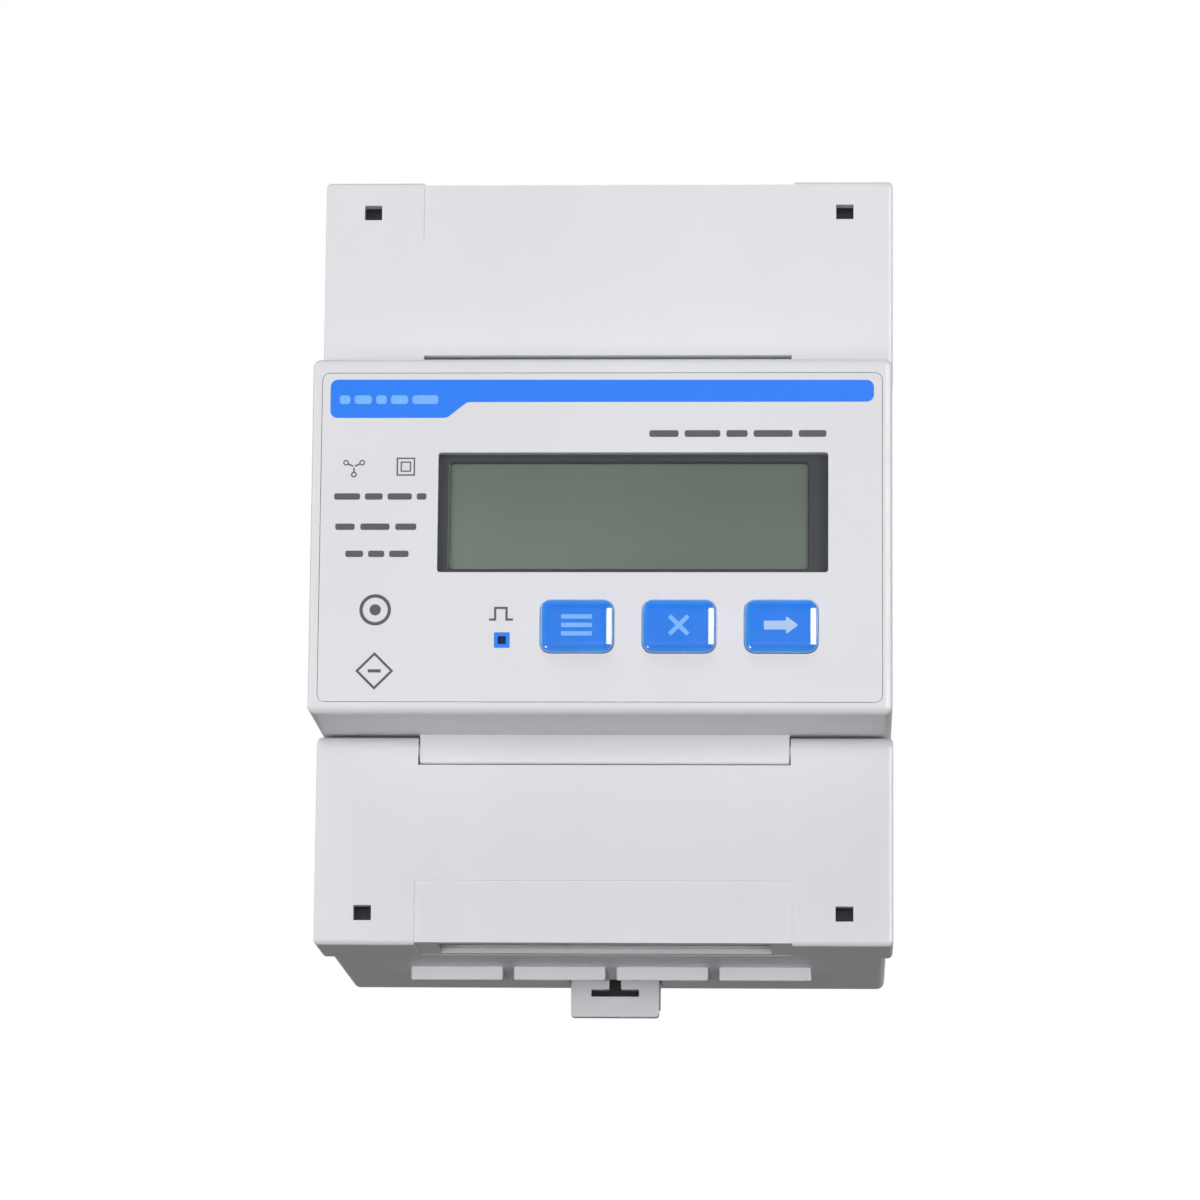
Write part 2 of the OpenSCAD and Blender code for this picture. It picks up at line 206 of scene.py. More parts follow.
def prism(points, start, end, axis=ALONG_Y):
    """An outline extruded along an axis; its points hold the other two coordinates, in order."""
    bm = bmesh.new()
    rings = []
    for place in (start, end):
        corners = [list(p) for p in points]
        for corner in corners:
            corner.insert(axis, place)
        rings.append([bm.verts.new(corner) for corner in corners])
    for k in range(len(points)):
        bm.faces.new([rings[0][k - 1], rings[0][k], rings[1][k], rings[1][k - 1]])
    for ring in rings:
        bm.faces.new(ring)
    return new_object("prism", bm)


def rounded(points, radius, steps=6):
    """An outline with its corners rounded; radius is one number or one for each corner."""
    made = []
    for i, here in enumerate(points):
        r = radius[i] if isinstance(radius, (list, tuple)) else radius
        if r == 0:
            made.append(tuple(here))
            continue
        here = Vector(here)
        back, ahead = Vector(points[i - 1]) - here, Vector(points[(i + 1) % len(points)]) - here
        half = back.angle(ahead) / 2
        reach = min(r / math.tan(half), back.length / 2, ahead.length / 2)
        first, last = here + back.normalized() * reach, here + ahead.normalized() * reach
        middle = here + (back.normalized() + ahead.normalized()).normalized() * (reach / math.cos(half))
        turn = (first - middle).angle_signed(last - middle)
        for k in range(steps + 1):
            made.append(tuple(middle + Matrix.Rotation(-turn * k / steps, 2) @ (first - middle)))
    return made


def rectangle(x0, z0, x1, z1):
    """The four corners of an upright rectangle."""
    return [(x0, z0), (x1, z0), (x1, z1), (x0, z1)]


def centred(x, z, half_w, half_h):
    """The four corners of an upright rectangle round its middle."""
    return rectangle(x - half_w, z - half_h, x + half_w, z + half_h)


def thick_path(path, width):
    """The outline of a line of constant width along a path, with mitred corners."""
    sides = ([], [])
    for i, here in enumerate(path):
        here = Vector(here)
        before = (here - Vector(path[i - 1])).normalized() if i > 0 else None
        after = (Vector(path[i + 1]) - here).normalized() if i < len(path) - 1 else None
        before, after = before or after, after or before
        normal = Vector((-(before + after).y, (before + after).x)).normalized()
        mitre = max(normal.dot(Vector((-before.y, before.x))), 0.3)
        reach = width / 2 / mitre
        sides[0].append(tuple(here + normal * reach))
        sides[1].append(tuple(here - normal * reach))
    return sides[0] + sides[1][::-1]


def circle(x, z, radius, sides=40, turn=0.0):
    """The points of a circle or, with few sides, of a regular polygon that is turned by an angle."""
    angles = [turn + math.tau * k / sides for k in range(sides)]
    return [(x + radius * math.cos(a), z + radius * math.sin(a)) for a in angles]


def frame_plate(outer, inner, y0, y1):
    """A plate between two outlines with the same number of points."""
    bm = bmesh.new()
    rings = [[bm.verts.new((x, y, z)) for x, z in outline] for y in (y0, y1) for outline in (outer, inner)]
    n = len(outer)
    for a, b in ((0, 1), (2, 3), (0, 2), (1, 3)):
        for k in range(n):
            bm.faces.new([rings[a][k], rings[a][(k + 1) % n], rings[b][(k + 1) % n], rings[b][k]])
    return new_object("frame_plate", bm)


def bake(obj):
    """Applies an object's modifiers to its mesh."""
    graph = bpy.context.evaluated_depsgraph_get()
    graph.update()
    mesh = bpy.data.meshes.new_from_object(obj.evaluated_get(graph))
    obj.modifiers.clear()
    old, obj.data = obj.data, mesh
    bpy.data.meshes.remove(old)


def combine(obj, tools, operation):
    """Joins tools to an object or cuts them from it, and removes them."""
    group = bpy.data.collections.new("tools")
    for tool in tools:
        group.objects.link(tool)
    step = obj.modifiers.new("combine", "BOOLEAN")
    step.operation = operation
    step.operand_type = "COLLECTION"
    step.collection = group
    step.solver = "EXACT"
    bake(obj)
    for tool in tools:
        bpy.data.meshes.remove(tool.data)
    bpy.data.collections.remove(group)
    return obj


def cut(obj, *tools):
    """Cuts tools from an object."""
    return combine(obj, tools, "DIFFERENCE")


def add(obj, *tools):
    """Joins overlapping tools to an object."""
    return combine(obj, tools, "UNION")


def join(name, objs):
    """One object from several that don't overlap."""
    bm = bmesh.new()
    for obj in objs:
        bm.from_mesh(obj.data)
        bpy.data.meshes.remove(obj.data)
    return new_object(name, bm)


def soften(obj, radius, choose=None, segments=3, clamp=True):
    """Rounds the sharp edges that choose(middle, direction) accepts, or all of them."""
    least_angle = math.radians(40)
    same_place = 1e-4
    bm = bmesh.new()
    bm.from_mesh(obj.data)
    bmesh.ops.remove_doubles(bm, verts=bm.verts, dist=same_place)
    bmesh.ops.dissolve_limit(bm, angle_limit=math.radians(0.5), verts=bm.verts, edges=bm.edges)
    picked = []
    for edge in bm.edges:
        a, b = edge.verts[0].co, edge.verts[1].co
        if not edge.is_manifold or edge.calc_face_angle(0) < least_angle:
            continue
        if choose is None or choose((a + b) / 2, (b - a).normalized()):
            picked.append(edge)
    if picked:
        bmesh.ops.bevel(
            bm,
            geom=picked,
            offset=radius,
            segments=segments,
            profile=0.5,
            affect="EDGES",
            clamp_overlap=clamp,
        )
    bmesh.ops.remove_doubles(bm, verts=bm.verts, dist=same_place)
    bm.to_mesh(obj.data)
    bm.free()
    return obj


def flipped(obj):
    """The same mesh, mirrored to the other end of the object."""
    bm = bmesh.new()
    bm.from_mesh(obj.data)
    for v in bm.verts:
        v.co.z = -v.co.z
    bmesh.ops.reverse_faces(bm, faces=bm.faces)
    return new_object(obj.name, bm)


def both_ends(make):
    """The tools that make() gives, and the same ones at the lower end."""
    made = make()
    return made + [flipped(tool) for tool in made]


def shade_smooth(obj):
    """Smooth shading that keeps flat faces flat and sharp edges sharp."""
    obj.data.polygons.foreach_set("use_smooth", [True] * len(obj.data.polygons))
    normals = obj.modifiers.new("normals", "WEIGHTED_NORMAL")
    normals.keep_sharp = True


def finish_piece(obj, name, body, material, replaces=()):
    """Scales a piece to metres, names it, and puts it on its body."""
    obj.name = name
    obj.data.name = name
    obj.data.transform(Matrix.Scale(MM, 4))
    obj.data.materials.clear()
    obj.data.materials.append(material)
    obj.data.set_sharp_from_angle(angle=math.radians(32))
    shade_smooth(obj)
    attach(obj, body)
    if replaces:
        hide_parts(*replaces)
    return obj


# ---------------------------------------------------------------- materials


class Shader:
    """A node material with short calls for the patterns used here."""

    def __init__(self, name, color, roughness, metallic=0.0, specular=0.5):
        self.material = bpy.data.materials.new(name)
        self.material.use_nodes = True
        self.tree = self.material.node_tree
        self.base = self.tree.nodes["Principled BSDF"]
        self.base.inputs["Base Color"].default_value = (*color, 1)
        self.base.inputs["Roughness"].default_value = roughness
        self.base.inputs["Metallic"].default_value = metallic
        self.base.inputs["Specular IOR Level"].default_value = specular
        self.place = self.node("ShaderNodeTexCoord").outputs["Object"]

    def node(self, kind, **values):
        """A new node, with its own settings given by name."""
        made = self.tree.nodes.new(kind)
        for key, value in values.items():
            setattr(made, key, value)
        return made

    def link(self, start, end):
        self.tree.links.new(start, end)

    def scaled(self, factors):
        """The object's place, stretched by a factor on each axis."""
        made = self.node("ShaderNodeMapping")
        made.inputs["Scale"].default_value = factors
        self.link(self.place, made.inputs["Vector"])
        return made.outputs["Vector"]

    def noise(self, scale, detail=2.0, rough=0.5, place=None):
        """Fine noise over the object's own place, or over another one."""
        made = self.node("ShaderNodeTexNoise")
        made.inputs["Scale"].default_value = scale
        made.inputs["Detail"].default_value = detail
        made.inputs["Roughness"].default_value = rough
        self.link(place or self.place, made.inputs["Vector"])
        return made.outputs["Fac"]

    def ramp(self, value, low, high, out_low=0.0, out_high=1.0):
        """A value that goes from out_low to out_high while the input goes from low to high."""
        made = self.node("ShaderNodeMapRange")
        self.link(value, made.inputs["Value"])
        for key, number in zip(("From Min", "From Max", "To Min", "To Max"), (low, high, out_low, out_high)):
            made.inputs[key].default_value = number
        return made.outputs["Result"]

    def math(self, kind, a, b=0.0):
        """One arithmetic step, of the kind named, on numbers or outputs."""
        made = self.node("ShaderNodeMath", operation=kind)
        for socket, value in zip(made.inputs, (a, b)):
            if isinstance(value, (int, float)):
                socket.default_value = value
            else:
                self.link(value, socket)
        return made.outputs["Value"]

    def mix(self, factor, a, b):
        """A colour between two colours or colour outputs."""
        made = self.node("ShaderNodeMix", data_type="RGBA")
        self.link(factor, made.inputs["Factor"])
        # The node has a socket A and a socket B for each kind of data: 6, 7 and 2 are the colour ones
        socket_a, socket_b, result = made.inputs[6], made.inputs[7], made.outputs[2]
        for socket, value in ((socket_a, a), (socket_b, b)):
            if isinstance(value, tuple):
                socket.default_value = (*value, 1)
            else:
                self.link(value, socket)
        return result

    def color(self, output):
        self.link(output, self.base.inputs["Base Color"])

    def roughness(self, output):
        self.link(output, self.base.inputs["Roughness"])

    def bump(self, height, strength, distance, after=None):
        """Relief from a height, on top of an earlier bump if one is given."""
        made = self.node("ShaderNodeBump")
        made.inputs["Strength"].default_value = strength
        made.inputs["Distance"].default_value = distance
        self.link(height, made.inputs["Height"])
        if after is not None:
            self.link(after, made.inputs["Normal"])
        self.link(made.outputs["Normal"], self.base.inputs["Normal"])
        return made.outputs["Normal"]

    def coat(self, weight, roughness):
        """Adds a clear coat, and returns the shader."""
        self.base.inputs["Coat Weight"].default_value = weight
        self.base.inputs["Coat Roughness"].default_value = roughness
        return self


def shade(color, factor):
    """A colour made darker or lighter."""
    return tuple(min(1.0, c * factor) for c in color)


def moulded(name, color, roughness=0.42, grain=1.0):
    """Injection-moulded plastic: spark-eroded grain, faint flow marks and slightly uneven gloss."""
    s = Shader(name, color, roughness)
    flow = s.noise(26, 3, 0.6, s.scaled((1.0, 1.0, 0.45)))
    speck = s.noise(2600, 2, 0.6)
    tone = s.mix(s.ramp(flow, 0.3, 0.7), shade(color, 0.965), shade(color, 1.02))
    s.color(s.mix(s.ramp(speck, 0.62, 0.78, 0, 0.35), tone, shade(color, 0.86)))
    s.roughness(s.ramp(s.noise(420, 3), 0.3, 0.7, roughness - 0.05, roughness + 0.08))
    first = s.bump(s.noise(3400, 2, 0.65), 0.22 * grain, 0.00004)
    s.bump(s.noise(90, 2), 0.05, 0.0002, first)
    return s.material


def film(name, color, roughness):
    """Printed polyester film with a fine orange-peel face."""
    s = Shader(name, color, roughness, specular=0.3)
    s.color(s.mix(s.ramp(s.noise(60, 3), 0.3, 0.7), shade(color, 0.98), shade(color, 1.01)))
    s.roughness(s.ramp(s.noise(900, 2), 0.3, 0.7, roughness - 0.04, roughness + 0.06))
    s.bump(s.noise(1500, 2), 0.08, 0.00003)
    return s.material


def ink(name, color, roughness=0.38):
    """Screen-printed ink: slightly mottled, with a few pin holes."""
    s = Shader(name, color, roughness)
    patch = s.ramp(s.noise(700, 3, 0.6), 0.35, 0.7)
    s.color(s.mix(patch, shade(color, 0.975), shade(color, 1.02)))
    s.roughness(s.ramp(s.noise(1800, 2), 0.3, 0.7, roughness - 0.06, roughness + 0.08))
    s.bump(s.noise(2400, 2), 0.06, 0.00002)
    return s.material


def key_gel(name, color, centre_x, centre_z):
    """Glossy domed key: deep blue in the middle, with a painted glow that makes it lighter towards its edge.
    """
    s = Shader(name, color, 0.16, specular=0.9).coat(1.0, 0.03)
    s.base.inputs["Coat IOR"].default_value = 1.9
    part = s.node("ShaderNodeSeparateXYZ")
    s.link(s.place, part.inputs["Vector"])
    across = s.math("ABSOLUTE", s.math("SUBTRACT", part.outputs["X"], centre_x * MM))
    up = s.math("ABSOLUTE", s.math("SUBTRACT", part.outputs["Z"], centre_z * MM))
    # Painted glow: the colour turns a lighter blue near the key's edge
    painted_rim_glow = s.math("MAXIMUM", s.ramp(across, 0.0036, 0.0045), s.ramp(up, 0.0025, 0.0033))
    lit = s.mix(painted_rim_glow, color, (0.07, 0.38, 0.99))
    s.color(s.mix(s.ramp(s.noise(240, 2), 0.35, 0.7, 0, 0.25), lit, shade(color, 0.75)))
    s.roughness(s.ramp(s.noise(500, 2), 0.3, 0.7, 0.12, 0.2))
    s.bump(s.noise(160, 2), 0.10, 0.0002)
    return s.material


def display(name, color):
    """Blank liquid-crystal glass: grey-green, with painted shade that makes it lighter towards the left and
    darker towards the right and the top, and faint lighter patches of painted reflection.
    """
    s = Shader(name, color, 0.2).coat(0.6, 0.06)
    part = s.node("ShaderNodeSeparateXYZ")
    s.link(s.place, part.inputs["Vector"])
    side = s.ramp(part.outputs["X"], window_low.x * MM, window_high.x * MM)
    rise = s.ramp(part.outputs["Z"], window_low.z * MM, window_high.z * MM)
    # Painted shade: lighter towards the left end, darker towards the right end and the top
    tone = s.mix(side, shade(color, 1.12), shade(color, 0.86))
    tone = s.mix(s.math("MULTIPLY", rise, 0.5), tone, shade(color, 0.82))
    # Painted reflection: soft lighter patches over the glass
    painted_reflection_patch = s.ramp(s.noise(55, 0, 0.4, s.scaled((1.0, 1.0, 0.6))), 0.2, 0.9, 0, 0.25)
    s.color(s.mix(painted_reflection_patch, tone, shade(color, 1.2)))
    s.roughness(s.ramp(s.noise(120, 0), 0.05, 0.95, 0.20, 0.28))
    s.bump(s.noise(1500, 1), 0.03, 0.00002)
    return s.material


def clear(name, color, alpha):
    """Thin clear moulding that is seen mostly by its reflections."""
    s = Shader(name, color, 0.06, specular=0.7).coat(1.0, 0.02)
    s.base.inputs["Alpha"].default_value = alpha
    s.roughness(s.ramp(s.noise(90, 1), 0.05, 0.95, 0.05, 0.10))
    s.bump(s.noise(1200, 1), 0.02, 0.00002)
    return s.material


def metal(name, color, roughness, along=(1.0, 1.0, 1.0), stain=None):
    """Metal with drawn or turned marks and uneven plating."""
    s = Shader(name, color, roughness, metallic=1.0)
    marks = s.noise(1600, 2, 0.6, s.scaled(along))
    patch = s.ramp(s.noise(300, 4, 0.6), 0.4, 0.7)
    s.color(s.mix(patch, shade(color, 1.05), stain or shade(color, 0.8)))
    s.roughness(s.ramp(marks, 0.3, 0.7, roughness - 0.08, roughness + 0.12))
    s.bump(marks, 0.15, 0.00003)
    return s.material


def circuit(name, mask_color, copper_color):
    """Circuit board: solder mask over tracks, with a few bare pads."""
    s = Shader(name, mask_color, 0.35).coat(0.5, 0.2)
    tracks = s.node("ShaderNodeTexBrick")
    turned = s.node("ShaderNodeMapping")
    turned.inputs["Rotation"].default_value = (math.pi / 2, 0, 0)
    s.link(s.place, turned.inputs["Vector"])
    s.link(turned.outputs["Vector"], tracks.inputs["Vector"])
    tracks.inputs["Scale"].default_value = 210
    tracks.inputs["Mortar Size"].default_value = 0.03
    tracks.inputs["Brick Width"].default_value = 1.7
    tracks.inputs["Row Height"].default_value = 0.42
    tone = s.mix(tracks.outputs["Fac"], mask_color, shade(mask_color, 1.9))
    pads = s.node("ShaderNodeTexVoronoi")
    pads.inputs["Scale"].default_value = 260
    s.link(s.place, pads.inputs["Vector"])
    s.color(s.mix(s.ramp(pads.outputs["Distance"], 0.16, 0.12), tone, copper_color))
    s.roughness(s.ramp(s.noise(600, 2), 0.3, 0.7, 0.3, 0.42))
    s.bump(tracks.outputs["Fac"], 0.3, 0.00004)
    return s.material


def wound(name, color, turns):
    """A taped or wound body with fine ribs across Z."""
    s = Shader(name, color, 0.4)
    ribs = s.node("ShaderNodeTexWave", bands_direction="Z")
    ribs.inputs["Scale"].default_value = turns
    ribs.inputs["Distortion"].default_value = 1.2
    s.link(s.place, ribs.inputs["Vector"])
    s.color(s.mix(ribs.outputs["Fac"], shade(color, 0.7), color))
    s.roughness(s.ramp(s.noise(500, 2), 0.3, 0.7, 0.3, 0.5))
    s.bump(ribs.outputs["Fac"], 0.3, 0.0001)
    return s.material


WHITE = (0.735, 0.742, 0.765)
MATERIALS = {
    "housing": moulded("housing_plastic", WHITE),
    "cover": moulded("cover_plastic", WHITE, 0.40, 0.8),
    "clip": moulded("clip_plastic", (0.68, 0.68, 0.71), 0.36, 0.6),
    "terminal": moulded("terminal_plastic", (0.30, 0.31, 0.33), 0.46),
    "frame": moulded("frame_plastic", (0.066, 0.070, 0.077), 0.42, 0.5),
    "black": moulded("black_plastic", (0.022, 0.022, 0.025), 0.38, 0.6),
    "label": film("label_film", (0.745, 0.742, 0.775), 0.34),
    "blue_ink": ink("blue_ink", (0.010, 0.205, 0.92)),
    "grey_ink": ink("grey_ink", (0.10, 0.10, 0.115)),
    "pale_ink": ink("pale_ink", (0.20, 0.48, 0.98), 0.2),
    "white_ink": ink("white_ink", (0.42, 0.60, 0.90), 0.2),
    "lcd": display("display_glass", (0.224, 0.280, 0.233)),
    "lens": clear("clear_lens", (0.06, 0.075, 0.07), 0.10),
    "diffuser": moulded("light_guide", (0.7, 0.75, 0.7), 0.3, 0.3),
    "rubber": moulded("conductive_rubber", (0.02, 0.02, 0.022), 0.7, 1.5),
    "board": circuit("circuit_board", (0.012, 0.11, 0.045), (0.55, 0.5, 0.42)),
    "steel": metal("zinc_steel", (0.62, 0.62, 0.65), 0.28),
    "brass": metal("brass", (0.72, 0.52, 0.24), 0.3, (0.3, 1, 1), (0.5, 0.33, 0.14)),
    "spring": metal("spring_wire", (0.5, 0.5, 0.52), 0.25),
    "epoxy": moulded("potting_epoxy", (0.02, 0.10, 0.42), 0.25, 0.4),
    "tape": wound("yellow_tape", (0.72, 0.5, 0.05), 420),
    "pipe": moulded("light_pipe_tint", (0.01, 0.03, 0.10), 0.12, 0.2),
    "led": moulded("led_epoxy", (0.5, 0.02, 0.02), 0.1, 0.2),
}
for key, centre in zip(KEYS, KEY_CENTRES):
    MATERIALS[key] = key_gel(f"{key}_gel", (0.018, 0.235, 0.98), *centre)


# ---------------------------------------------------------------- terminal covers


def upper_cover_mesh():
    """Cover: rounded shell with a knuckled inner edge, sunk middle panel, slot and seal holes."""
    low_z, back = cover_low.z, cover_high.y
    clear_z, clear_y = low_z - 4, COVER_Y - 1
    side = [(back, low_z), (COVER_Y, low_z), (COVER_Y, COVER_END), (back, COVER_END)]
    shell = prism(rounded(side, [0, 1.6, 0.75, 0], 8), -HALF_W, HALF_W, ALONG_X)
    soften(shell, 0.6, lambda m, d: abs(d.x) < 0.5 and m.y < back - 0.1, 5, clamp=False)
    hollow = bar(HALF_W - COVER_WALL, COVER_Y + COVER_SKIN, RIM_Y + 1, clear_z, COVER_END - COVER_WALL)
    soften(hollow, 0.5, lambda m, d: m.y < COVER_Y + 3 and abs(d.x) > 0.9 and m.z > 40, 3)
    cut(shell, hollow)
    knuckle_starts = (NOTCH_X, -NOTCH_X - KNUCKLE_W)
    knuckles = [rod(ALONG_X, HINGE, KNUCKLE_R, start, start + KNUCKLE_W) for start in knuckle_starts]
    add(shell, *knuckles)
    ribs = [bar(0.45, COVER_Y + 1, COVER_Y + 3.6, NOTCH_X + 4.5, COVER_END - 1, x) for x in (-16, 16)]
    ribs.append(bar(17, COVER_Y + 1, COVER_Y + 2.9, 33.5, 34.3))
    add(shell, *ribs)
    notch = bar(NOTCH_X, clear_y, RIM_Y + 1, clear_z, NOTCH_Z)
    sunk_panel = bar(PANEL_X, clear_y, COVER_Y + 0.25, PANEL_FOOT, COVER_END + 1)
    sunk_end = bar(PANEL_X, clear_y, RIM_Y + 1, COVER_END - 0.35, COVER_END + 1)
    cut(shell, notch, sunk_panel, sunk_end)
    bore_w = KNUCKLE_W + 0.1
    cut(
        shell,
        rod(ALONG_X, HINGE, PIN_HOLE_R, NOTCH_X - 1, NOTCH_X + bore_w),
        rod(ALONG_X, HINGE, PIN_HOLE_R, -NOTCH_X - bore_w, -NOTCH_X + 1),
        bar(SLOT_X, COVER_Y + 1.9, SLOT_BACK, COVER_END - 3, COVER_END + 1),
        bar(SLOT_X + 1, COVER_Y + COVER_SKIN, SLOT_BACK + 0.5, COVER_END - 2, COVER_END - 1),
        *[bar(1.1, clear_y, COVER_Y + 3, SEAL_Z - 0.95, SEAL_Z + 0.95, x) for x in (-SEAL_X, SEAL_X)],
    )
    return soften(shell, 0.1, segments=2)


def make_covers():
    """Upper cover, and the lower cover as its mirror image."""
    upper = upper_cover_mesh()
    lower = flipped(upper)
    plastic = MATERIALS["cover"]
    finish_piece(upper, "upper_cover_shell", "upper_cover", plastic, ["upper_cover"])
    finish_piece(lower, "lower_cover_shell", "lower_cover", plastic, ["lower_cover"])


# ---------------------------------------------------------------- front block


def face_openings(key_gap, window_gap, led_gap):
    """Cutting plates for the openings of the front face: window, keys and pulse light."""
    y0, y1 = FACE_Y - 1, FACE_Y + 3
    window = centred(WINDOW_X, WINDOW_Z, WINDOW_W / 2 + window_gap, WINDOW_H / 2 + window_gap)
    outlines = [rounded(window, 0.35)]
    for x, z in KEY_CENTRES:
        outlines.append(rounded(centred(x, z, KEY_W / 2 + key_gap, KEY_H / 2 + key_gap), 1.3 + key_gap))
    led_half = LED_HALF + led_gap
    led_opening = bar(led_half, y0, y1, LED_Z - led_half, LED_Z + led_half, LED_X)
    return [prism(outline, y0, y1) for outline in outlines] + [led_opening]


def make_front_block():
    """Front block with its hollow, shoulders, decks and openings."""
    y0, y1 = block_low.y, RIM_Y
    body = block((-BLOCK_HALF_W, y0, -BLOCK_HALF_H), (BLOCK_HALF_W, y1, BLOCK_HALF_H))
    soften(body, 1.0, lambda m, d: m.y < y0 + 1 or abs(d.y) > 0.9, 6)

    def shoulder():
        """Ledge in the cover's notch, its hinge pins, and the deck behind it."""
        ledge = bar(NOTCH_X - 0.15, COVER_Y + 0.8, y1, BLOCK_HALF_H - 2, SHOULDER_Z)
        soften(ledge, 0.4, lambda m, d: abs(d.x) > 0.9 and m.z > BLOCK_HALF_H and m.y < y1 - 1, 3)
        pins = [rod(ALONG_X, HINGE, PIN_R, start, end) for start, end in PIN_SPANS]
        deck = bar(BASE_HALF_W - 2.4, y1, y1 + DECK_T, BLOCK_HALF_H - 1, BASE_END - 2.5)
        return [ledge, deck] + pins

    add(body, *both_ends(shoulder))
    inner_h = BLOCK_HALF_H - BLOCK_WALL
    cut(body, bar(BLOCK_HALF_W - BLOCK_WALL, y0 + BLOCK_WALL, y1 + 5, -inner_h, inner_h))
    post_places = [(x, z) for x in (-BOARD_POST_X, BOARD_POST_X) for z in (-BOARD_POST_Z, BOARD_POST_Z)]
    add(body, *[rod(ALONG_Y, place, 2.2, y0 + 1, -48) for place in post_places])
    recess_low = (label_low.x - LABEL_GAP, label_low.z - LABEL_GAP)
    recess_high = (label_high.x + LABEL_GAP, label_high.z + LABEL_GAP)
    recess = prism(rounded(rectangle(*recess_low, *recess_high), 1.0), y0 - 1, y0 + LABEL_T)

    def deck_cuts():
        """Window over the terminal row, the hollow of the ledge, screw holes and seal slots."""
        row = bar(27.1, y1 - 1, y1 + 3, 31.8, 47)
        screws = [rod(ALONG_Y, (x, SCREW_Z), 1.6, y1 - 1, y1 + 3) for x in (-SCREW_X, SCREW_X)]
        seals = [bar(1.7, y1 - 1, y1 + 3, SEAL_Z - 1.6, BASE_END, x) for x in (-SEAL_X, SEAL_X)]
        hollow = bar(NOTCH_X - 1.9, COVER_Y + 2.4, y1 + 2, BLOCK_HALF_H - 1, SHOULDER_Z - 1.4)
        return [row, hollow] + screws + seals

    cut(body, recess)
    cut(body, *both_ends(deck_cuts))
    cut(body, *face_openings(0.2, 0.1, 0.15))
    soften(body, 0.12, segments=2)
    plastic = MATERIALS["housing"]
    finish_piece(body, "front_block_shell", "housing", plastic, ["front_housing"])


# ---------------------------------------------------------------- base


def base_collars():
    """Cable collars round the wire entries of the upper end: a lip in front and two falling cheeks."""
    foot, top = BASE_END - 1, BASE_END + COLLAR_H
    fall = [
        (COLLAR_FRONT_Y, foot),
        (COLLAR_FRONT_Y, top),
        (COLLAR_BACK_Y, BASE_END + 0.3),
        (COLLAR_BACK_Y, foot),
    ]
    made = []
    for x in POWER_X:
        left, right = x - COLLAR_W / 2, x + COLLAR_W / 2
        collar = prism(fall, left, right, ALONG_X)
        inner_low = (left + COLLAR_T, COLLAR_FRONT_Y + COLLAR_T, foot - 1)
        cut(collar, block(inner_low, (right - COLLAR_T, COLLAR_BACK_Y + 1, top + 1)))
        soften(collar, 0.25, lambda m, d: m.z > BASE_END + 0.1, 3)
        made.append(collar)
    return made


def make_base():
    """Base with its lands, rail channel, hook, cable collars and wire entries."""
    body = block((-BASE_HALF_W, RIM_Y, -BASE_END), (BASE_HALF_W, LAND_Y, BASE_END))
    soften(body, 1.0, lambda m, d: abs(d.y) > 0.9, 6)
    soften(body, 0.6, lambda m, d: m.y > LAND_Y - 1, 4)
    soften(body, 0.5, lambda m, d: m.y < RIM_Y + 0.1 and abs(m.z) > BASE_END - 1, 3)
    add(body, *both_ends(base_collars))
    channel = bar(BASE_HALF_W + 1, 0, LAND_Y + 1, -LAND_Z, LAND_Z)
    cut(body, channel)
    hook = bar(BASE_HALF_W - 3, 1.3, 4, 15.8, LAND_Z + 1)
    soften(hook, 0.4, lambda m, d: abs(d.x) > 0.9 and m.z < 17, 3)
    add(body, hook)
    cut(body, bar(BASE_HALF_W - 2.2, RIM_Y - 1, -2.2, -BASE_END + 2.3, BASE_END - 2.3))

    def screw_posts():
        return [rod(ALONG_Y, (x, SCREW_Z), 3, -28.4, -1) for x in (-SCREW_X, SCREW_X)]

    add(body, *both_ends(screw_posts))

    def holes():
        """A groove along the rail seat, the screw holes, and the pockets on each side of the back."""
        made = [bar(BASE_HALF_W + 1, -0.2, 0.5, 15, LAND_Z)]
        for side in (-1, 1):
            made.append(rod(ALONG_Y, (side * SCREW_X, SCREW_Z), 1.45, -29, -8))
            for column in range(3):
                x = side * (13 + 8.6 * column)
                made += [bar(3.5, 0.8, LAND_Y + 1, foot, foot + 9.6, x) for foot in (22.5, 35.1)]
        return made

    cut(body, *both_ends(holes))
    entries = [rod(ALONG_Z, (x, POWER_ENTRY_Y), 3.3, -BASE_END - 3, -BASE_END + 4) for x in POWER_X]
    entries += [rod(ALONG_Z, (x, SIGNAL_ENTRY_Y), 1.7, BASE_END - 4, BASE_END + 3) for x in SIGNAL_X]
    cut(body, *entries)
    guide_half = CLIP_HALF_W + CLIP_GAP
    guide = bar(guide_half, SPINE_Y - CLIP_GAP, clip_high.y + CLIP_GAP, -BASE_END - 3, -LAND_Z + 3)
    web_way = bar(guide_half, clip_low.y - CLIP_GAP, SPINE_Y, -BASE_END - 3, WEB_TOP + CLIP_GAP)
    spring_pocket = bar(2.3, 0.4, LAND_Y + 1, -42.4, -28.4)
    cut(body, guide, web_way, spring_pocket)
    spring_seat = bar(1.1, -0.5, LAND_Y - 1, -41.8, -40)
    add(body, spring_seat)
    soften(body, 0.12, segments=2)
    finish_piece(body, "base_shell", "housing", MATERIALS["housing"], ["base_housing"])


def make_seal_posts():
    """Posts behind the square holes of the covers, each with a hole for the seal wire, coloured dark as
    painted shade inside the holes.
    """

    def posts():
        made = []
        for x in (-SEAL_X, SEAL_X):
            post = bar(1.4, COVER_Y + 4.5, RIM_Y + 5, SEAL_Z - 1.3, BASE_END - 1.8, x)
            soften(post, 0.3, lambda m, d: m.y < COVER_Y + 5, 3)
            cut(post, rod(ALONG_X, (COVER_Y + 6.2, SEAL_Z), 0.6, x - 3, x + 3))
            made.append(post)
        return made

    # The dark frame plastic stands in for the shade inside the seal holes
    finish_piece(join("posts", both_ends(posts)), "seal_posts", "housing", MATERIALS["frame"])


# ---------------------------------------------------------------- face: label, marks, window, keys


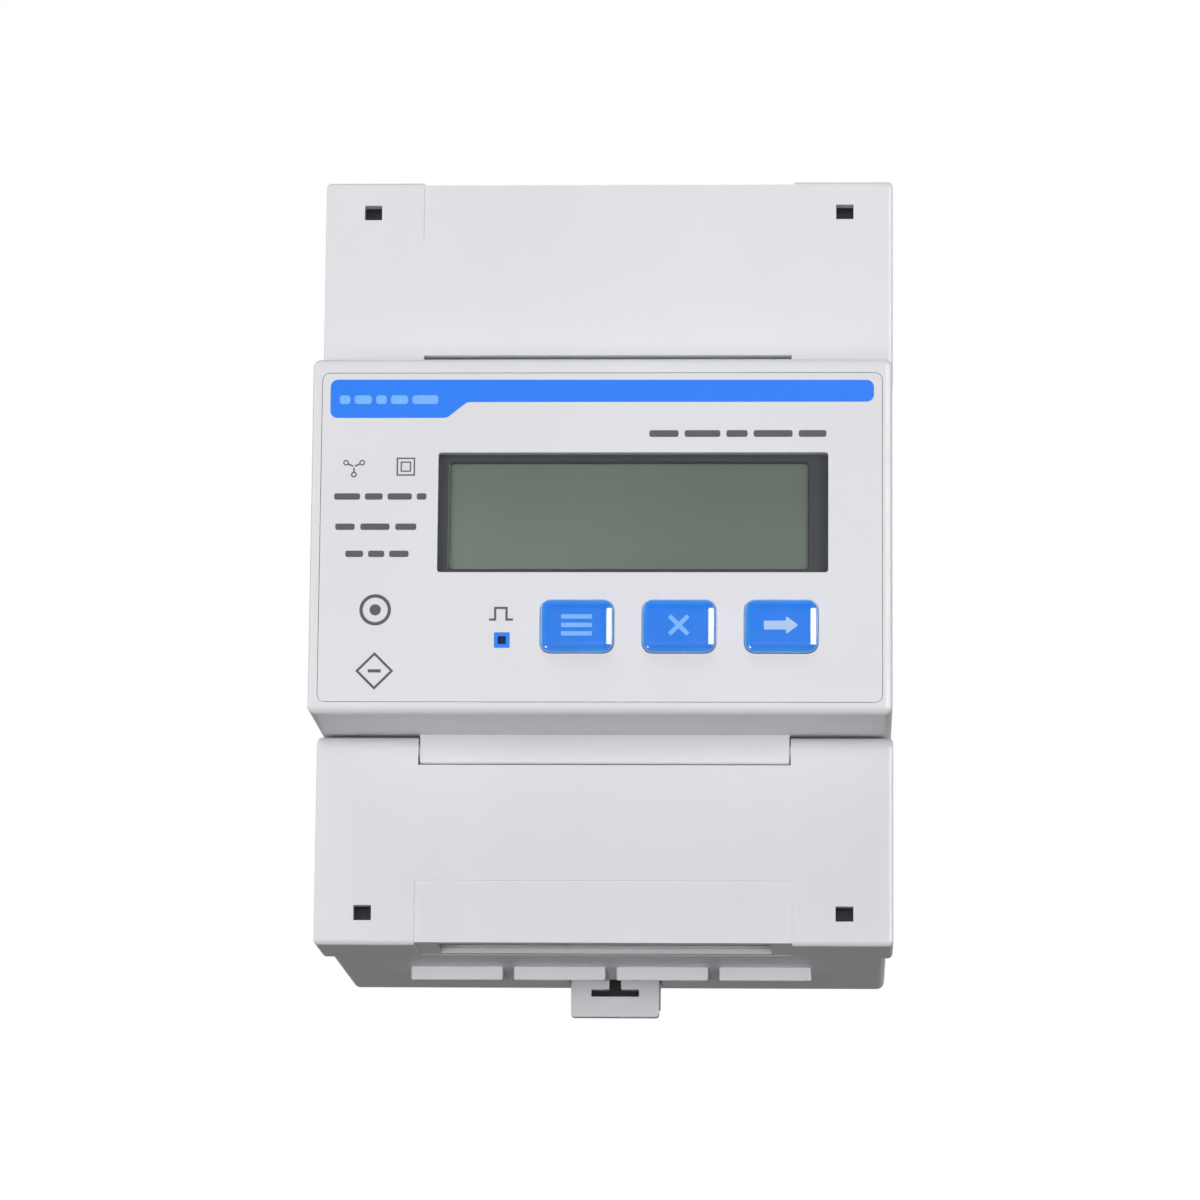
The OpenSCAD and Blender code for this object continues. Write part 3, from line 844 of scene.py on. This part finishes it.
def make_label():
    """Label film with rounded corners and openings."""
    outline = rounded(rectangle(label_low.x, label_low.z, label_high.x, label_high.z), 0.9)
    film_plate = prism(outline, label_low.y, label_high.y)
    cut(film_plate, *face_openings(0.05, 0.0, 0.02))
    soften(film_plate, 0.06, segments=2)
    finish_piece(film_plate, "label_sheet", "housing", MATERIALS["label"], ["fascia_label"])


def printed(name, shapes, material, coats=1.0):
    """Ink shapes, a hair proud of the label, or of the ink below when there are more coats."""
    ink_plates = join(name, [prism(points, FACE_Y - PRINT_T * coats, FACE_Y + PRINT_T) for points in shapes])
    finish_piece(ink_plates, name, "housing", MATERIALS[material])


def dashes(x0, z, lengths, height, space):
    """A row of plain rounded bars that stands in for a line of print."""
    made = []
    for length in lengths:
        made.append(rounded(rectangle(x0, z - height / 2, x0 + length, z + height / 2), height * 0.3, 3))
        x0 += length + space
    return made


def make_print():
    """Coloured bar, plain dashes for the lines of print, and generic symbols."""
    left, right = label_low.x + 1.0, label_high.x - 1.0
    bar_outline = [(left, 19.55), (right, 19.45), (right, 16.7), (-16.6, 16.7), (-19.1, 14.7), (left, 14.7)]
    printed("print_blue_bar", [rounded(bar_outline, [0.9, 0.9, 0.9, 1.2, 1.0, 0.9])], "blue_ink")
    bar_dashes = dashes(-32.4, 17.0, [1.3, 2.1, 1.3, 2.1, 3.2], 1.1, 0.55)
    printed("print_bar_dashes", bar_dashes, "pale_ink", 1.5)
    rows = dashes(5.9, 12.7, [3.6, 4.4, 2.6, 4.8, 3.4], 0.85, 0.75)
    rows += dashes(-32.9, 4.8, [3.2, 2.2, 3.0, 1.2], 0.8, 0.6)
    rows += dashes(-32.7, 1.0, [2.4, 3.6, 2.6], 0.8, 0.7)
    rows += dashes(-31.4, -2.4, [2.2, 2.0, 2.4], 0.8, 0.6)
    foot, top = -10.6, -9.15
    pulse = [(-13.6, foot), (-12.85, foot), (-12.85, top), (-11.45, top), (-11.45, foot), (-10.65, foot)]
    rows.append(thick_path(pulse, 0.28))
    printed("print_lines", rows, "grey_ink")


def ring_mark(x, z, radius, width, sides=40, turn=0.0):
    """A ring, or with few sides a polygon, as a printed frame."""
    outer = circle(x, z, radius, sides, turn)
    inner = circle(x, z, radius - width, sides, turn)
    return frame_plate(outer, inner, FACE_Y - PRINT_T, FACE_Y + PRINT_T)


def make_symbols():
    """Three-branch mark, double square, and two plain marks low on the label."""
    y0, y1 = FACE_Y - PRINT_T, FACE_Y + PRINT_T
    hub = (-30.5, 8.55)
    marks = []
    for degrees in (150, 30, 270):
        a = math.radians(degrees)
        knob = (hub[0] + 1.15 * math.cos(a), hub[1] + 1.0 * math.sin(a))
        marks.append(ring_mark(*knob, 0.36, 0.16, 20))
        inner = (hub[0] + 0.12 * math.cos(a), hub[1] + 0.12 * math.sin(a))
        outer = (hub[0] + 0.80 * math.cos(a), hub[1] + 0.66 * math.sin(a))
        marks.append(prism(thick_path([inner, outer], 0.2), y0, y1))
    quarter = math.pi / 4
    marks.append(ring_mark(-24.1, 8.55, 1.62, 0.26, 4, quarter))
    marks.append(ring_mark(-24.1, 8.55, 0.92, 0.24, 4, quarter))
    marks.append(ring_mark(-27.6, -9.4, 1.95, 0.42))
    marks.append(prism(circle(-27.6, -9.4, 0.7, 24), y0, y1))
    marks.append(ring_mark(-27.6, -17.0, 2.35, 0.42, 4))
    marks.append(prism(rectangle(-28.4, -17.2, -26.8, -16.8), y0, y1))
    symbols = join("print_symbols", marks)
    finish_piece(symbols, "print_symbols", "housing", MATERIALS["grey_ink"])
    ring = ring_mark(LED_X, LED_Z, LED_HALF * 1.41 + 0.02, 0.62, 4, quarter)
    finish_piece(ring, "print_led_frame", "housing", MATERIALS["blue_ink"])


def key_mesh(x, z):
    """A key: flat crown with a broad rounded border, and a straight skirt."""
    bm = bmesh.new()
    foot = CROWN_Y + KEY_RISE
    levels = [(0.0, FLANGE_Y + 0.05), (0.0, foot)]
    steps = 14
    for k in range(1, steps + 1):
        a = math.pi / 2 * k / steps
        levels.append((KEY_FILLET * (1 - math.cos(a)), foot - KEY_RISE * math.sin(a)))
    rings = []
    for inset, y in levels:
        corners = centred(x, z, KEY_W / 2 - inset, KEY_H / 2 - inset)
        outline = rounded(corners, KEY_CORNER - 0.75 * inset, 9)
        rings.append([bm.verts.new((px, y, pz)) for px, pz in outline])
    for lower, upper in zip(rings, rings[1:]):
        for k in range(len(lower)):
            bm.faces.new([lower[k - 1], lower[k], upper[k], upper[k - 1]])
    bm.faces.new(rings[-1])
    bm.faces.new(rings[0])
    return new_object("key", bm)


def key_sign(index, x, z):
    """The outlines of a key's sign: bars, a cross or an arrow, round the key's centre."""
    if index == 0:
        return [rounded(centred(x, z + rise, 1.9, 0.27), 0.1, 3) for rise in (-1.05, 0.0, 1.05)]
    if index == 1:
        arm, half = 1.6, 0.27
        quarter = [(half, arm), (-half, arm), (-half, half)]
        turns = [Matrix.Rotation(math.pi / 4 + math.pi / 2 * k, 2) for k in range(4)]
        return [[tuple(Vector((x, z)) + turn @ Vector(point)) for turn in turns for point in quarter]]
    arrow = [(-2.1, -0.55), (0.6, -0.55), (0.6, -1.15), (2.1, 0.0), (0.6, 1.15), (0.6, 0.55), (-2.1, 0.55)]
    return [rounded([(x + px, z + pz) for px, pz in arrow], 0.12, 3)]


def make_keys():
    """Three keys, each a domed cap with a flange and a stem, and a printed sign."""
    for index, ((x, z), key) in enumerate(zip(KEY_CENTRES, KEYS)):
        low, high = box_mm(key)
        cap = key_mesh(x, z)
        flange = block((low.x, FLANGE_Y, low.z), (high.x, FLANGE_Y + 0.9, high.z))
        stem = rod(ALONG_Y, (x, z), 1.5, FLANGE_Y + 0.8, high.y, 28)
        add(cap, flange, stem)
        finish_piece(cap, f"{key}_cap", key, MATERIALS[key], [key])
        outlines = key_sign(index, x, z)
        sign_t = 0.012
        sign = join(f"{key}_sign", [prism(points, CROWN_Y - sign_t, CROWN_Y + sign_t) for points in outlines])
        finish_piece(sign, f"{key}_sign", key, MATERIALS["pale_ink" if index < 2 else "white_ink"])


def make_window():
    """Clear lens in the face, and the dark frame round the display behind it."""
    outline = rounded(rectangle(window_low.x, window_low.z, window_high.x, window_high.z), 0.3)
    lens = prism(outline, window_low.y, window_high.y)
    soften(lens, 0.12, segments=2)
    finish_piece(lens, "window_lens", "housing", MATERIALS["lens"], ["lcd_window"])
    low, high = box_mm("lcd_holder")
    x, z = WINDOW_X, WINDOW_Z
    holder = block(low, high)
    soften(holder, 0.5, lambda m, d: abs(d.y) > 0.9, 4)
    seat = block((x - 24.1, low.y + 1.1, z - 9.1), (x + 24.1, high.y + 1, z + 9.1))
    sight = prism(rounded(rectangle(x - 22.7, z - 6.7, x + 21.5, z + 6.7), 0.4), low.y - 1, low.y + 2)
    cut(holder, seat, sight)
    soften(holder, 0.2, segments=3)
    finish_piece(holder, "display_frame", "housing", MATERIALS["frame"], ["lcd_holder"])


# ---------------------------------------------------------------- rail clip and its spring


def make_clip():
    """Sliding clip: spine with a chamfered tip and spring window, web, and tab with a T-shaped tool slot."""
    tip, front, back = clip_high.z, clip_low.y, clip_high.y
    body = bar(CLIP_HALF_W, SPINE_Y, back, SPINE_END, tip)
    soften(body, 0.8, lambda m, d: abs(d.x) > 0.9 and m.z > tip - 0.5 and m.y > back - 0.5, 1)
    tab = bar(CLIP_HALF_W, front, front + TAB_T, clip_low.z, WEB_TOP)
    soften(tab, 0.45, lambda m, d: abs(d.y) > 0.9 and m.z < -50, 4)
    web = bar(CLIP_HALF_W, front, SPINE_Y + 0.1, WEB_TOP - 1, WEB_TOP)
    cheek_x = CLIP_HALF_W - 0.5
    cheeks = [bar(0.5, front + 1, SPINE_Y + 0.1, SPINE_END, WEB_TOP, x) for x in (-cheek_x, cheek_x)]
    add(body, tab, web, *cheeks)
    spring_window = bar(2.1, SPINE_Y - 1, back + 1, -42, -29)
    slot_cross = bar(3.1, front - 1, front + TAB_T + 1, -50.7, -49.8)
    slot_stem = bar(0.75, front - 1, front + TAB_T + 1, -49.9, WEB_TOP - 1)
    cut(body, spring_window, slot_cross, slot_stem)
    soften(body, 0.15, segments=3)
    finish_piece(body, "clip_slider", "rail_clip", MATERIALS["clip"], ["rail_clip"])
    # A black insert behind the T-shaped slot: painted shade that makes the slot look dark
    shade_insert = bar(CLIP_HALF_W - 1.1, front + TAB_T + 0.05, SPINE_Y - 0.05, SPINE_END + 0.3, WEB_TOP - 1.05)
    soften(shade_insert, 0.2)
    finish_piece(shade_insert, "clip_dark_shade_insert", "rail_clip", MATERIALS["black"])


def make_spring():
    """Coil spring with closed ends, in the clip's window."""
    low, high = box_mm("clip_spring")
    centre = (low + high) / 2
    wire = 0.28
    coil = (high.x - low.x) / 2 - wire
    turns = 9
    steps = turns * 28
    sides = 8
    bm = bmesh.new()
    rings = []
    for k in range(steps + 1):
        share = k / steps
        closed = min(1.0, max(0.0, (share - 0.09) / 0.82))
        height = low.z + wire + (high.z - low.z - 2 * wire) * closed
        a = math.tau * turns * share
        out = Vector((math.cos(a), math.sin(a), 0))
        hub = Vector((centre.x, centre.y, height)) + out * coil
        ring = []
        for s in range(sides):
            t = math.tau * s / sides
            ring.append(bm.verts.new(hub + out * wire * math.cos(t) + Vector((0, 0, wire * math.sin(t)))))
        rings.append(ring)
    for first, second in zip(rings, rings[1:]):
        for s in range(sides):
            bm.faces.new([first[s], first[(s + 1) % sides], second[(s + 1) % sides], second[s]])
    bm.faces.new(rings[0][::-1])
    bm.faces.new(rings[-1])
    spring = new_object("spring", bm)
    finish_piece(spring, "clip_spring_coil", "housing", MATERIALS["spring"], ["clip_spring"])
    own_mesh(spring)


# ---------------------------------------------------------------- CAD nodes that stay


def dress(node, material, radius):
    """Gives a CAD node its material, and rounds its edges with modifiers unless the radius is 0."""
    obj = nodes[node]
    obj.data.materials.clear()
    obj.data.materials.append(MATERIALS[material])
    if radius:
        weld = obj.modifiers.new("weld", "WELD")
        weld.merge_threshold = 1e-6
        flat = obj.modifiers.new("flat", "DECIMATE")
        flat.decimate_type = "DISSOLVE"
        flat.angle_limit = math.radians(1)
        edge = obj.modifiers.new("edge", "BEVEL")
        edge.width = radius * MM
        edge.segments = 3
        edge.limit_method = "ANGLE"
        edge.angle_limit = math.radians(45)
        edge.harden_normals = False
    else:
        obj.data.set_sharp_from_angle(angle=math.radians(35))
    shade_smooth(obj)


def numbered(name, count):
    """Node names with their numbers, counted from 1."""
    return [f"{name}_{k}" for k in range(1, count + 1)]


def dress_nodes():
    """Dresses the inner parts, terminals and fasteners, which keep their CAD shape."""
    screws = ["board_screws", "housing_screws", *numbered("power_screw", 4), *numbered("signal_screw", 8)]
    chips = ["metering_chip", "interface_chips", *numbered("key_switch", 3)]
    plan = {
        "lcd": (["lcd_glass"], 0.15),
        "diffuser": (["lcd_backlight"], 0.2),
        "rubber": (["zebra_strips"], 0.15),
        "board": (["display_board", "main_board"], 0.08),
        "pipe": (["light_pipe"], 0.1),
        "led": (["pulse_led"], 0.0),
        "terminal": (["power_terminal_block", "signal_terminal_block"], 0.2),
        "steel": (screws, 0.1),
        "brass": (["power_contacts", "signal_clamps", *numbered("power_clamp", 4)], 0.15),
        "black": (["board_link", "filter_capacitors", *chips], 0.12),
        "epoxy": (["surge_varistors", *numbered("current_transformer", 3)], 0.4),
        "tape": (["supply_transformer"], 0.3),
    }
    for material, (names, radius) in plan.items():
        for name in names:
            dress(name, material, radius)


# ---------------------------------------------------------------- stage, light and camera


FLOOR_Z = -0.8
LIGHT_SPREAD = math.radians(110)


def make_floor():
    """Pale floor, far enough below to leave every view clear. It glows, but casts no light on the meter."""
    bm = bmesh.new()
    bmesh.ops.create_grid(bm, x_segments=1, y_segments=1, size=4)
    bmesh.ops.translate(bm, verts=bm.verts, vec=(0, 0, FLOOR_Z))
    floor = new_object("floor", bm)
    s = Shader("floor_paint", (0.5, 0.5, 0.51), 0.7)
    s.color(s.mix(s.ramp(s.noise(3, 2), 0.3, 0.7), (0.48, 0.48, 0.49), (0.52, 0.52, 0.53)))
    s.base.inputs["Emission Color"].default_value = (1, 1, 1, 1)
    s.base.inputs["Emission Strength"].default_value = 0.6
    floor.data.materials.append(s.material)
    floor.visible_diffuse = False
    floor.visible_glossy = False


def make_world():
    """White studio surround: bright to the camera, faint as a light."""
    world = bpy.data.worlds.new("studio")
    bpy.context.scene.world = world
    world.use_nodes = True
    tree = world.node_tree
    back = tree.nodes["Background"]
    back.inputs["Color"].default_value = (1, 1, 1, 1)
    ray = tree.nodes.new("ShaderNodeLightPath")
    strength = tree.nodes.new("ShaderNodeMapRange")
    strength.inputs["To Min"].default_value = 0.075
    strength.inputs["To Max"].default_value = 1.0
    tree.links.new(ray.outputs["Is Camera Ray"], strength.inputs["Value"])
    tree.links.new(strength.outputs["Result"], back.inputs["Strength"])


def area_light(name, place, aim, size, power, matte=True, gloss=True):
    """A rectangular softbox; it can be kept out of matte shading or out of reflections."""
    lamp = bpy.data.lights.new(name, "AREA")
    lamp.shape = "RECTANGLE"
    lamp.size, lamp.size_y = size
    lamp.energy = power
    lamp.spread = LIGHT_SPREAD
    obj = bpy.data.objects.new(name, lamp)
    obj.location = place
    obj.rotation_mode = "QUATERNION"
    obj.rotation_quaternion = (Vector(aim) - Vector(place)).to_track_quat("-Z", "Y")
    obj.visible_diffuse = matte
    obj.visible_glossy = gloss
    bpy.context.scene.collection.objects.link(obj)


def make_lights():
    """Wide soft light from the front, two boxes seen only in reflections, and fill for the other sides."""
    face = (0, -0.03, 0)
    area_light("front_softbox", (-0.1, -1.5, -0.12), face, (1.9, 0.8), 9.1, gloss=False)
    area_light("right_mirror_box", (0.72, -0.62, 0.08), face, (0.95, 0.62), 5.0, matte=False)
    area_light("low_left_mirror_box", (-0.6, -0.62, -0.5), face, (0.17, 0.17), 0.3, matte=False)
    area_light("top_softbox", (-0.2, -0.5, 1.2), face, (0.9, 0.6), 2.2, gloss=False)
    area_light("left_fill", (-1.2, 0.15, 0.2), face, (0.6, 0.8), 2.1)
    area_light("right_fill", (1.2, 0.25, 0.2), face, (0.6, 0.8), 2.1)
    area_light("back_fill", (0.3, 1.2, 0.4), (0, 0, 0), (0.9, 0.7), 4.9, gloss=False)
    area_light("floor_bounce", (0, -0.3, FLOOR_Z), (0, -0.02, 0), (1.6, 1.6), 1.15, gloss=False)


def make_camera():
    """Long-lens camera below and a little to the right of the middle, looking slightly up."""
    place = (0.0298, FACE_Y * MM - 0.6728, -0.1333)
    lens = bpy.data.cameras.new("camera")
    lens.sensor_width = 36.0
    lens.lens = 167.7
    lens.clip_start, lens.clip_end = 0.01, 20
    camera = bpy.data.objects.new("camera", lens)
    bpy.context.scene.collection.objects.link(camera)
    yaw, pitch, roll = (math.radians(a) for a in (-2.536, 10.527, 0.498))
    ahead = Vector((math.sin(yaw) * math.cos(pitch), math.cos(yaw) * math.cos(pitch), math.sin(pitch)))
    right = Vector((math.cos(yaw), -math.sin(yaw), 0))
    up = right.cross(ahead)
    side = right * math.cos(roll) + up * math.sin(roll)
    top = up * math.cos(roll) - right * math.sin(roll)
    turn = Matrix((side, top, -ahead)).transposed().to_4x4()
    camera.matrix_world = Matrix.Translation(place) @ turn
    bpy.context.scene.camera = camera
    bpy.context.scene.view_settings.view_transform = "Standard"


make_covers()
make_front_block()
make_base()
make_seal_posts()
make_label()
make_print()
make_symbols()
make_keys()
make_window()
make_clip()
make_spring()
dress_nodes()
make_floor()
make_world()
make_lights()
make_camera()
